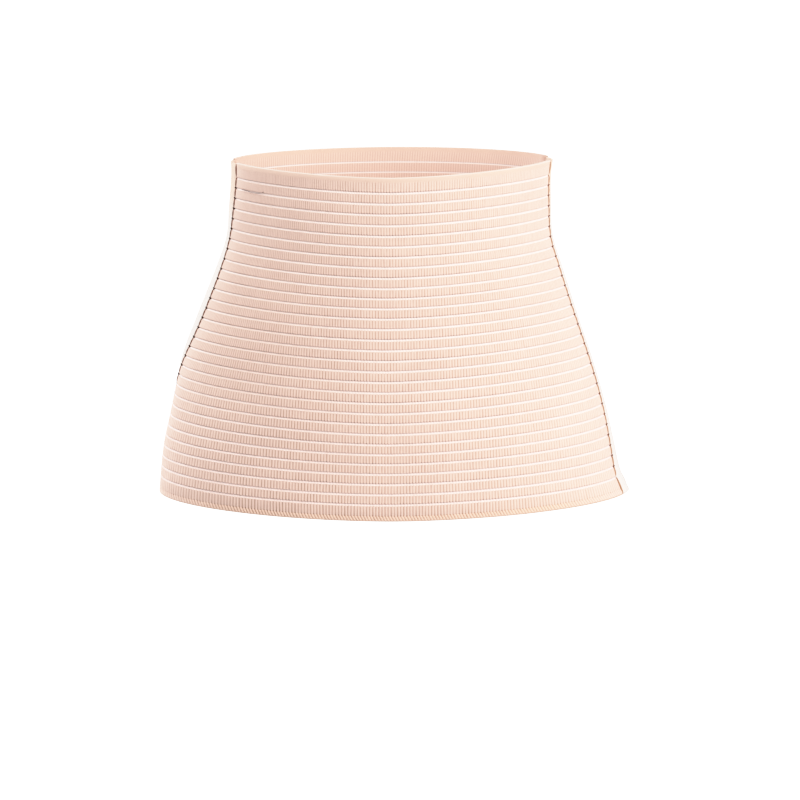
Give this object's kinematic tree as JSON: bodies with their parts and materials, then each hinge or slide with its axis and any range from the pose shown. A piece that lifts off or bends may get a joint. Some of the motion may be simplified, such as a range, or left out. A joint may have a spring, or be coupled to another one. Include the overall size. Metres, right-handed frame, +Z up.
{
  "type": "elastic belly belt",
  "caption": "Wide tubular elastic belt for the waist and hips: ribbed knitted panels with pale open vent strips, sewn to plain side tapes, narrow above and flared below.",
  "frame": {"origin": "on the axis of the body that wears the belt, at the narrowest place of the waist, which is the level of the topmost vent strip at the sides", "axes": "+Z up along the wearer's body, +X across to the viewer's right, -Y out of the belly, so the front panel faces -Y"},
  "size_m": [0.3783, 0.2226, 0.2718],
  "materials": {
    "ribbed_elastic": "matt ribbed elastic knit, pale skin beige, with whitish open strips between its bands",
    "side_tape": "matt plain woven tape, pale cream"
  },
  "bodies": {
    "root": {"front_panel": "ribbed_elastic", "back_panel": "ribbed_elastic", "left_side_tape": "side_tape", "right_side_tape": "side_tape"}
  },
  "joints": []
}
